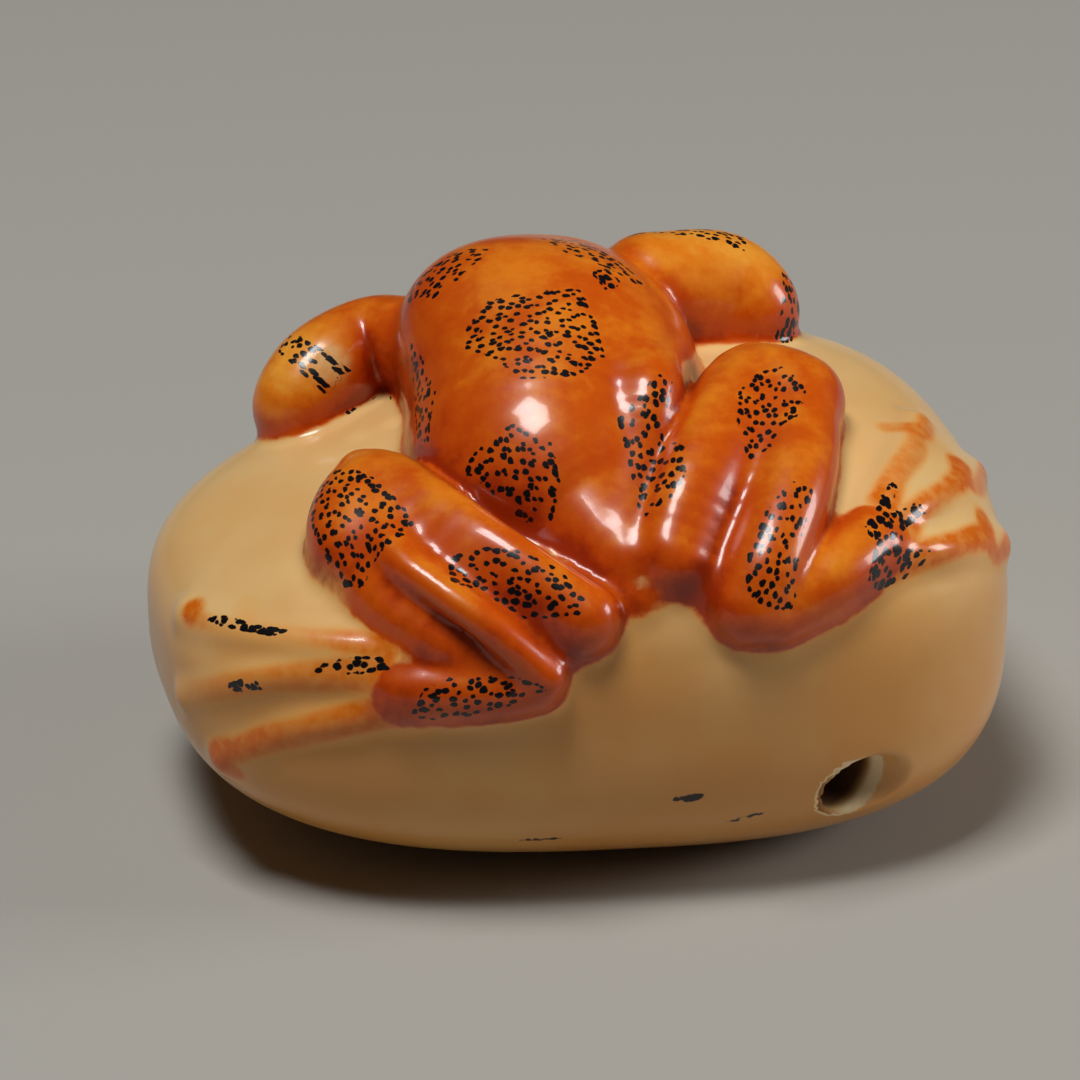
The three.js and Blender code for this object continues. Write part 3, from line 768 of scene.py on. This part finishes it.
out, off = hole_frame(points)
drilled = (off < HOLE_MOUTH / 2 + WALL_MARGIN) & (out > -HOLE_DEPTH - END_MARGIN)
bore = np.where(drilled, np.clip(-out, 0, HOLE_DEPTH), 0)
carving = build_object("frog_on_nut", points, quads, {
    "form_stain": np.clip(form_stain, -DEPTH_LIMIT, DEPTH_LIMIT),
    "toe_stain": toe_stain,
    "hollow": hollow,
    "worn": worn,
    "thin": thin,
    "upward": normals[:, 2],
    "ink": np.clip(ink, -DEPTH_LIMIT, DEPTH_LIMIT),
    "pen": pen,
    "marks": np.clip(marks, -DEPTH_LIMIT, DEPTH_LIMIT),
    "eye": np.clip(eye_distance(points), 0, DEPTH_LIMIT),
    "bore": bore,
})
print("triangles:", 2 * len(quads))

# %% [markdown]
# ## Vegetable ivory, stained and inked
# The material is polished vegetable ivory. Light enters it a little way, so its shaded side glows warm. Its
# colour is worked out in layers, as the maker laid them: bare nut, then stain, then ink. The numbers stored
# on the vertices say where each layer lies, and a noise makes each one as uneven as handwork is. One small
# function adds every node, and one turns every hex colour into linear light.

# %% Colour and node helpers
def linear(hex_colour):
    """An sRGB hex colour as linear red, green, blue and full alpha, by the standard's curve."""
    parts = [int(hex_colour[i:i + 2], 16) / 255 for i in (1, 3, 5)]
    return (*[c / 12.92 if c <= 0.04045 else ((c + 0.055) / 1.055)**2.4 for c in parts], 1.0)


def add(tree, kind, inputs, output=0, **settings):
    """A new node: its settings by name, and each input from a value or from another node's socket.

    Inputs come in a list, in the node's own order, or by name or number. One output comes back."""
    node = tree.nodes.new("ShaderNode" + kind)
    for name, value in settings.items():
        setattr(node, name, value)
    for name, value in inputs.items() if isinstance(inputs, dict) else enumerate(inputs):
        if isinstance(value, bpy.types.NodeSocket):
            tree.links.new(value, node.inputs[name])
        else:
            node.inputs[name].default_value = value
    return node.outputs[output] if node.outputs else node


print("middle grey in linear light:", round(linear("#808080")[0], 3))

# %% The numbers and patterns that the layers read
# Each pattern: the width of its blotches in millimetres, its detail, its roughness, its lowest value and
# its highest. The pen's edge and the rubbed grain are drawn coarser than real, so that they show.
PATTERNS = {
    "honey": (9, 3, 0.5, -0.2, 0.2),
    "bleed": (0.9, 3, 0.5, -0.05, 0.05),
    "brush": (0.8, 3, 0.5, 0.85, 1.1),
    "stain": (3.5, 4, 0.65, -0.16, 0.16),
    "rubbed": (0.5, 3, 0.5, 0.6, 1.2),
    "pen_edge": (0.5, 2, 0.5, -0.08, 0.08),
}
NOISE_RANGE = (0.3, 0.7)
SMOOTH = {"interpolation_type": "SMOOTHSTEP"}
COLOURS = {"output": 2, "data_type": "RGBA"}

tagua = bpy.data.materials.new("polished_stained_tagua")
tagua.use_nodes = True
tagua.node_tree.nodes.clear()
node = functools.partial(add, tagua.node_tree)
place = node("TexCoord", {}, "Object")
pen_place = node("Attribute", {}, "Vector", attribute_name="pen")
stored = {}
for title in ("upward", "form_stain", "toe_stain", "hollow", "worn", "thin", "ink", "marks", "eye", "bore"):
    stored[title] = node("Attribute", {}, "Fac", attribute_name=title)
uneven = {}
for title, (width, detail, roughness, lowest, highest) in PATTERNS.items():
    noise = node("TexNoise", {"Vector": place, "Scale": 1 / (width * MM), "Detail": detail,
                              "Roughness": roughness})
    uneven[title] = node("MapRange", [noise, *NOISE_RANGE, lowest, highest], **SMOOTH)
print("numbers read from the vertices:", len(stored), "patterns:", len(uneven))

# %% [markdown]
# ### Bare nut
# Polished tagua is cream, with faint broad blotches. It is painted paler where it faces up and darker honey
# down its sides, as painted light from above and painted shade below. A colour mix takes its share at
# input 0 and its two colours at inputs 6 and 7.

# %% The bare nut
TAGUA_PALE = "#e8be7e"
TAGUA_SHADED_HONEY = "#dc9a4f"
FACES_DOWN = -0.2
FACES_UP = 0.95
SHADED_HONEY_BELOW = 0.95
SHADED_HONEY_ABOVE = 0.15
# Painted light and shade: the nut is cream as it faces up and turns to honey as it faces down.
facing_shade = node("MapRange", [stored["upward"], FACES_DOWN, FACES_UP, SHADED_HONEY_BELOW, SHADED_HONEY_ABOVE], **SMOOTH)
honey = node("Math", [facing_shade, uneven["honey"]], operation="ADD")
bare = node("Mix", {0: honey, 6: linear(TAGUA_PALE), 7: linear(TAGUA_SHADED_HONEY)}, **COLOURS)
print("cream", TAGUA_PALE, "to honey", TAGUA_SHADED_HONEY)

# %% [markdown]
# ### Stain
# One stain gives every tone from yellow to brick red, and a thin coat is light. The tone is painted deeper
# on steep sides and in folds as painted shade, and lighter on faces turned up and in a few spots as painted
# light. So one number, the tone, picks the colour from a ramp. The stain ends softly a little outside the
# carved forms and is rubbed off where hands hold the frog.

# %% The stain's colour
STAIN_RAMP = [(0.0, "#f0a63a"), (0.35, "#e37e17"), (0.6, "#cf5705"), (0.8, "#c44603"), (1.0, "#9e2c02")]
FORM_EDGE = (-0.5, -0.22)
FACES_ASIDE = 0.3
STEEP_SHADE_TONE = 0.8
UPWARD_LIGHT_TONE = 0.5
FOLD_SHADE_DEPTH = 0.45
TOE_TONE = 0.5
TOE_FADE = (0.05, 0.95)
edge = node("Math", [stored["form_stain"], uneven["bleed"]], operation="ADD")
form = node("MapRange", [edge, *FORM_EDGE, 0, 1], **SMOOTH)
toes = node("Math", [stored["toe_stain"], uneven["brush"]], operation="MULTIPLY")
# Painted light and shade: the stain's tone is deeper on steep sides and lighter on faces turned up.
tone = node("MapRange", [stored["upward"], FACES_ASIDE, FACES_UP, STEEP_SHADE_TONE, UPWARD_LIGHT_TONE], **SMOOTH)
tone = node("Math", [tone, uneven["stain"]], operation="ADD")
# Painted shade: the tone is deeper where the carving is hollow, in its folds.
painted_fold_shade = node("Math", [stored["hollow"], FOLD_SHADE_DEPTH], operation="MULTIPLY")
tone = node("Math", [tone, painted_fold_shade], operation="ADD")
# Painted light: the tone is lighter in a few spots on the arms and the right foot.
tone = node("Math", [tone, stored["thin"]], operation="SUBTRACT")
tone = node("Math", [form, tone], operation="MULTIPLY")
toe_tone = node("Math", [toes, TOE_TONE], operation="MULTIPLY")
tone = node("Math", [tone, toe_tone], operation="MAXIMUM")
ramp = node("ValToRGB", [tone])
stops = ramp.node.color_ramp.elements
stops.remove(stops[1])
for position, hex_colour in STAIN_RAMP:
    stop = stops[0] if position == 0 else stops.new(position)
    stop.color = linear(hex_colour)
toe_dye = node("MapRange", [toes, *TOE_FADE, 0, 1])
dyed = node("Math", [form, toe_dye], operation="MAXIMUM")
rubbed = node("Math", [stored["worn"], uneven["rubbed"]], operation="MULTIPLY")
kept = node("Math", [1, rubbed], operation="SUBTRACT")
cover = node("Math", [dyed, kept], operation="MULTIPLY")
stained = node("Mix", {0: cover, 6: bare, 7: ramp}, **COLOURS)
print("tones of stain:", len(STAIN_RAMP))

# %% [markdown]
# ### Ink
# Pen ink is nearly black and lies on the stain. A Voronoi texture, which sets a point at random in each
# cell of a grid, gives the dots: a dot is the ground nearer to its point than the dot's radius. Coordinates
# are squeezed along the patch and shaken a little, as by hand, so that no dot is a true circle.

# %% The ink
INK_BLACK = "#0c090b"
DOT_SPACING = 0.44
DOT_RADIUS = 0.145
DOT_STRETCH = 1.3
DOT_SIZES = (0.6, 1.3)
DOT_SCATTER = 0.95
PEN_WOBBLE = 0.45
PEN_LOOSENESS = 0.28
HEAVY_GROWTH = 0.35
RIM_GROWTH = (1.2, 1.0)
RIM_REACH = (0.1, 0.9)
PATCH_EDGE = (-0.05, 0.12)
DYE_EDGE = (0.08, 0.2)
DOT_EDGE = (-0.04, 0.04)
MARK_EDGE = (-0.03, 0.03)
shake = node("TexNoise", {"Vector": place, "Scale": 1 / (PEN_WOBBLE * MM), "Detail": 2}, "Color")
shaken = node("VectorMath", [pen_place, shake], operation="ADD")
loose = node("Mix", {0: PEN_LOOSENESS, 6: pen_place, 7: shaken}, **COLOURS)
drawn = node("VectorMath", [loose, (1 / DOT_STRETCH, 1, 0)], operation="MULTIPLY")
away = node("TexVoronoi", {"Vector": drawn, "Scale": 1 / DOT_SPACING, "Randomness": DOT_SCATTER}, "Distance",
            voronoi_dimensions="2D", feature="F1")
size = node("MapRange", [away.node.outputs["Color"], 0, 1, *DOT_SIZES])
heavy = node("Math", [node("SeparateXYZ", [pen_place], "Z"), HEAVY_GROWTH], operation="MULTIPLY")
growth = node("MapRange", [stored["ink"], *RIM_REACH, *RIM_GROWTH], **SMOOTH)
growth = node("Math", [growth, heavy], operation="ADD")
size = node("Math", [size, growth], operation="MULTIPLY")
radius = node("Math", [size, DOT_RADIUS / DOT_SPACING], operation="MULTIPLY")
inside = node("MapRange", [stored["ink"], *PATCH_EDGE, 0, 1], **SMOOTH)
on_dye = node("MapRange", [dyed, *DYE_EDGE, 0, 1], **SMOOTH)
inside = node("Math", [inside, on_dye], operation="MULTIPLY")
radius = node("Math", [radius, inside], operation="MULTIPLY")
dot = node("Math", [radius, away], operation="SUBTRACT")
dot = node("MapRange", [dot, *DOT_EDGE, 0, 1], **SMOOTH)
mark = node("Math", [stored["marks"], uneven["pen_edge"]], operation="ADD")
mark = node("MapRange", [mark, *MARK_EDGE, 0, 1], **SMOOTH)
black = node("Math", [dot, mark], operation="MAXIMUM")
inked = node("Mix", {0: black, 6: stained, 7: linear(INK_BLACK)}, **COLOURS)
print("dots about", 2 * DOT_RADIUS, "mm wide and", DOT_SPACING, "mm apart")

# %% [markdown]
# ### Eyes and cord hole
# Each eye keeps a disc of bare ivory with a black pupil. The hole's rim is chipped pale, since stain and
# polish broke away there, and its wall is painted dark brown within a millimetre and a half of depth, as
# painted shade inside the hole.

# %% Eyes and hole
EYE_IVORY = "#e9c583"
PUPIL_EDGE = (0.6, 0.68)
EYE_EDGE = (1.0, 1.1)
CHIPPED_RIM = "#efdcb4"
HOLE_SHADE_BROWN = "#44240f"
CHIP_STARTS = (0.02, 0.15)
CHIP_ENDS = (0.6, 1.0)
CHIP_STRENGTH = 0.7
HOLE_SHADE_REACH = (0.45, 1.4)
HOLE_SHADE_STRENGTH = 0.93
around_eye = node("MapRange", [stored["eye"], *EYE_EDGE, 0, 1], **SMOOTH)
around_pupil = node("MapRange", [stored["eye"], *PUPIL_EDGE, 0, 1], **SMOOTH)
looking = node("Mix", {0: around_eye, 6: linear(EYE_IVORY), 7: inked}, **COLOURS)
faced = node("Mix", {0: around_pupil, 6: linear(INK_BLACK), 7: looking}, **COLOURS)
chip_starts = node("MapRange", [stored["bore"], *CHIP_STARTS, 0, 1], **SMOOTH)
chip_ends = node("MapRange", [stored["bore"], *CHIP_ENDS, CHIP_STRENGTH, 0], **SMOOTH)
chipped = node("Math", [chip_starts, chip_ends], operation="MULTIPLY")
rimmed = node("Mix", {0: chipped, 6: faced, 7: linear(CHIPPED_RIM)}, **COLOURS)
# Painted shade: the hole's wall turns dark brown with depth.
painted_hole_shade = node("MapRange", [stored["bore"], *HOLE_SHADE_REACH, 0, HOLE_SHADE_STRENGTH], **SMOOTH)
whole_colour = node("Mix", {0: painted_hole_shade, 6: rimmed, 7: linear(HOLE_SHADE_BROWN)}, **COLOURS)
print("pupils", 2 * PUPIL_EDGE[0], "mm wide in discs of", 2 * EYE_EDGE[0], "mm")

# %% [markdown]
# ### Polish
# Tagua takes a soft gloss, and the last buffing leaves a clear film over it, which is a thin coat in the
# shader. Worn places and the drilled wall are dull and have next to no coat. The IOR is that of cellulose.
# Red light travels furthest inside, which gives the warm glow. Depths and widths here are in millimetres.

# %% Polish and the finished material
POLISHED_ROUGHNESS = 0.3
WORN_ROUGHNESS = 0.6
DRILLED_ROUGHNESS = 0.75
POLISHED_COAT = 0.42
WORN_COAT = 0.05
COAT_ROUGHNESS = 0.1
WORN_OUT = 0.8
BORE_STARTS = 0.1
GRAIN_WIDTH = 0.16
GRAIN_HEIGHT = 0.012
GRAIN_STRENGTH = 0.2
GLOW_DEPTH = 0.8
GLOW_SHARE = 0.15
GLOW_COLOUR = (1.0, 0.45, 0.15)
TAGUA_IOR = 1.54
SHINE = 0.26
worn_dull = node("MapRange", [stored["worn"], 0, WORN_OUT, POLISHED_ROUGHNESS, WORN_ROUGHNESS], **SMOOTH)
bore_dull = node("MapRange", [stored["bore"], 0, BORE_STARTS, POLISHED_ROUGHNESS, DRILLED_ROUGHNESS],
                 **SMOOTH)
dull = node("Math", [worn_dull, bore_dull], operation="MAXIMUM")
worn_coat = node("MapRange", [stored["worn"], 0, WORN_OUT, POLISHED_COAT, WORN_COAT], **SMOOTH)
bore_coat = node("MapRange", [stored["bore"], 0, BORE_STARTS, 1, 0], **SMOOTH)
coat = node("Math", [worn_coat, bore_coat], operation="MULTIPLY")
grain = node("TexNoise", {"Vector": place, "Scale": 1 / (GRAIN_WIDTH * MM), "Detail": 2})
bump = node("Bump", {"Height": grain, "Strength": GRAIN_STRENGTH, "Distance": GRAIN_HEIGHT * MM})
shader = node("BsdfPrincipled", {
    "Base Color": whole_colour,
    "Normal": bump,
    "Roughness": dull,
    "IOR": TAGUA_IOR,
    "Specular IOR Level": SHINE,
    "Coat Weight": coat,
    "Coat Roughness": COAT_ROUGHNESS,
    "Subsurface Weight": GLOW_SHARE,
    "Subsurface Scale": GLOW_DEPTH * MM,
    "Subsurface Radius": GLOW_COLOUR,
})
node("OutputMaterial", {"Surface": shader})
carving.data.materials.append(tagua)
print("nodes in the material:", len(tagua.node_tree.nodes))

# %% The carving's place in the frame
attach(carving, "root")
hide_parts("frog_carving")

# %% [markdown]
# ## Table, lights and camera
# The camera looks down at the carving from far off with a long lens, as a product photographer would. The
# highlights on the polish are small and round, so the key light is one small softbox, high at the front
# left. A second one, low at the right, lights that end of the nut, and the rest of the room is nearly dark.

# %% The table
# The table is matt warm grey stone: it shows a soft shadow and no reflection.
TABLE_SIZE = 3.0
TABLE_GREY = "#a8a59d"
TABLE_ROUGHNESS = 0.8


def plain_material(name, colour, roughness):
    """A material of one colour and one roughness."""
    material = bpy.data.materials.new(name)
    material.use_nodes = True
    shader = material.node_tree.nodes["Principled BSDF"]
    shader.inputs["Base Color"].default_value = linear(colour)
    shader.inputs["Roughness"].default_value = roughness
    return material


half = TABLE_SIZE / 2
table_mesh = bpy.data.meshes.new("table")
table_mesh.from_pydata([(-half, -half, 0), (half, -half, 0), (half, half, 0), (-half, half, 0)], [],
                       [(0, 1, 2, 3)])
table = bpy.data.objects.new("table", table_mesh)
bpy.context.scene.collection.objects.link(table)
table_mesh.materials.append(plain_material("matt_pale_table", TABLE_GREY, TABLE_ROUGHNESS))
print("table:", TABLE_SIZE, "m wide")

# %% Lights
TARGET = np.array([-1.9, 0, 14.5]) * MM
LIGHT_DISTANCE = 0.6
LIGHT_SIZE = 0.2
KEY_TURN = -45
KEY_RISE = 75
KEY_POWER = 2.85
SIDE_TURN = 92
SIDE_RISE = 20
SIDE_POWER = 1.5
ROOM_WHITE = "#f2f2f0"
ROOM_STRENGTH = 0.03


def softbox(name, turn, rise, power):
    """A square light that faces the carving, by degrees round and up from it, with its power in watts."""
    data = bpy.data.lights.new(name, "AREA")
    data.shape = "SQUARE"
    data.size = LIGHT_SIZE
    data.energy = power
    lamp = bpy.data.objects.new(name, data)
    way = heading(turn, rise)
    lamp.location = TARGET + way * LIGHT_DISTANCE
    lamp.rotation_mode = "QUATERNION"
    lamp.rotation_quaternion = Vector(way).to_track_quat("Z", "Y")
    bpy.context.scene.collection.objects.link(lamp)
    return lamp


lamps = [softbox("key_softbox", KEY_TURN, KEY_RISE, KEY_POWER),
         softbox("side_softbox", SIDE_TURN, SIDE_RISE, SIDE_POWER)]
world = bpy.data.worlds.new("studio")
world.use_nodes = True
world.node_tree.nodes["Background"].inputs["Color"].default_value = linear(ROOM_WHITE)
world.node_tree.nodes["Background"].inputs["Strength"].default_value = ROOM_STRENGTH
bpy.context.scene.world = world
bpy.context.scene.view_settings.view_transform = "Standard"
print("softboxes:", [lamp.name for lamp in lamps])

# %% Camera
CAMERA_DISTANCE = 296
CAMERA_RISE = 27
SENSOR_WIDTH = 36
LENS_LENGTH = 176.7
NEAREST_SEEN = 0.01
camera_data = bpy.data.cameras.new("camera")
camera_data.sensor_width = SENSOR_WIDTH
camera_data.lens = LENS_LENGTH
camera_data.clip_start = NEAREST_SEEN
camera = bpy.data.objects.new("camera", camera_data)
camera_way = heading(0, CAMERA_RISE)
camera.location = TARGET + camera_way * CAMERA_DISTANCE * MM
camera.rotation_mode = "QUATERNION"
camera.rotation_quaternion = Vector(camera_way).to_track_quat("Z", "Y")
bpy.context.scene.collection.objects.link(camera)
bpy.context.scene.camera = camera
print("camera:", CAMERA_DISTANCE, "mm away,", CAMERA_RISE, "degrees up")
